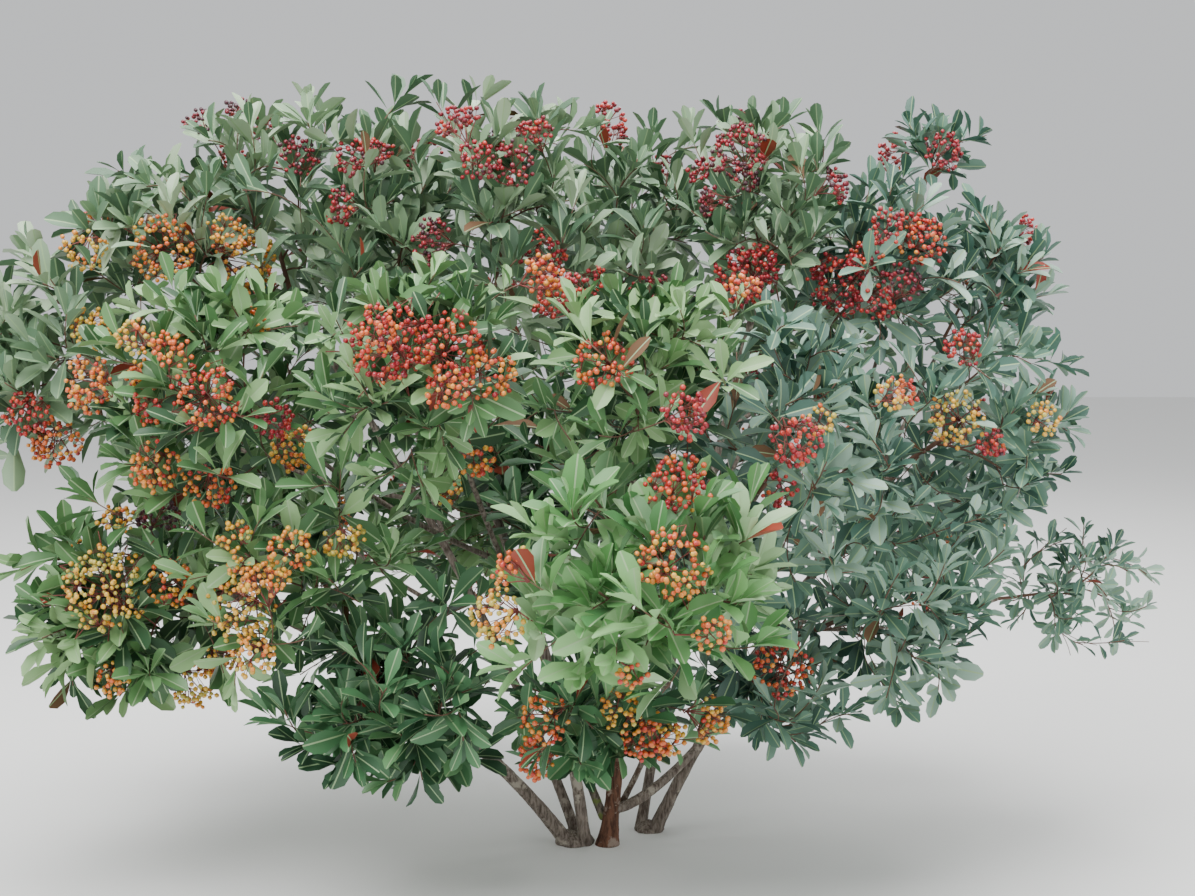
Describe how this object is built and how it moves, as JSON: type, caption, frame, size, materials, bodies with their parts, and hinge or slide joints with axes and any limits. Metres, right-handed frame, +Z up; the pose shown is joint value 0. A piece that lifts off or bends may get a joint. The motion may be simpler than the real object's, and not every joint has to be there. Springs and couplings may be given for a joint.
{
  "type": "toyon shrub",
  "caption": "Wide evergreen shrub with several stems fanning from one root, leathery leaves and ripening berry bunches; planted outdoors as cover or hedge.",
  "frame": {"origin": "middle of the flat cut under the main stem, at ground level", "axes": "+Z up, +X along the crown's width to the right of the picture, +Y away from the picture's viewer"},
  "size_m": [1.9987, 1.5104, 1.3],
  "materials": {
    "bark_grey": "grey-brown bark with fine upright fissures",
    "bark_red_brown": "rough, flaking red-brown bark",
    "bark_mossy": "grey bark with patches of moss",
    "bark_dead": "dead wood with peeling pale bark",
    "foliage_green": "leathery mid-green leaves with a slight sheen, berries from yellow to crimson",
    "foliage_sea_green": "leathery blue-green leaves with a slight sheen, berries from yellow to red",
    "foliage_bright": "fresh, lighter green leaves with a slight sheen"
  },
  "bodies": {
    "root": {"bough_back_left": "bark_grey", "bough_back_right": "bark_grey", "bough_back_top": "bark_grey", "bough_back_top_left": "bark_grey", "bough_back_top_right": "bark_grey", "bough_front_left": "bark_grey", "bough_front_middle": "bark_grey", "bough_front_spray": "bark_grey", "bough_left_inner": "bark_grey", "bough_left_mid": "bark_grey", "bough_left_shoulder": "bark_grey", "bough_left_tip": "bark_grey", "bough_right_front": "bark_grey", "bough_right_shoulder": "bark_grey", "bough_right_tail": "bark_grey", "bough_sprig": "bark_grey", "bough_top_far_right": "bark_grey", "bough_top_middle": "bark_grey", "dead_stub": "bark_dead", "leaves_back_left": "foliage_green", "leaves_back_mid_left": "foliage_green", "leaves_back_mid_right": "foliage_sea_green", "leaves_back_right": "foliage_sea_green", "leaves_back_top": "foliage_green", "leaves_back_top_left": "foliage_green", "leaves_back_top_right": "foliage_sea_green", "leaves_front_left": "foliage_green", "leaves_front_middle": "foliage_green", "leaves_front_spray": "foliage_bright", "leaves_heart": "foliage_green", "leaves_left_inner": "foliage_green", "leaves_left_low": "foliage_green", "leaves_left_mid": "foliage_green", "leaves_left_shoulder": "foliage_green", "leaves_left_tip": "foliage_green", "leaves_low_front": "foliage_green", "leaves_low_left": "foliage_green", "leaves_right_front": "foliage_sea_green", "leaves_right_inner": "foliage_sea_green", "leaves_right_low": "foliage_sea_green", "leaves_right_mid": "foliage_sea_green", "leaves_right_shoulder": "foliage_sea_green", "leaves_right_tail": "foliage_sea_green", "leaves_sprig": "foliage_sea_green", "leaves_top_far_right": "foliage_sea_green", "leaves_top_left": "foliage_green", "leaves_top_mid_left": "foliage_green", "leaves_top_mid_right": "foliage_green", "leaves_top_middle": "foliage_green", "leaves_top_right": "foliage_sea_green", "root_flare_left": "bark_grey", "root_flare_right": "bark_grey", "stem_crossing": "bark_grey", "stem_far_left": "bark_grey", "stem_far_right": "bark_grey", "stem_left": "bark_grey", "stem_main": "bark_red_brown", "stem_mid_left": "bark_grey", "stem_mossy": "bark_mossy", "stem_right": "bark_grey"}
  },
  "joints": []
}
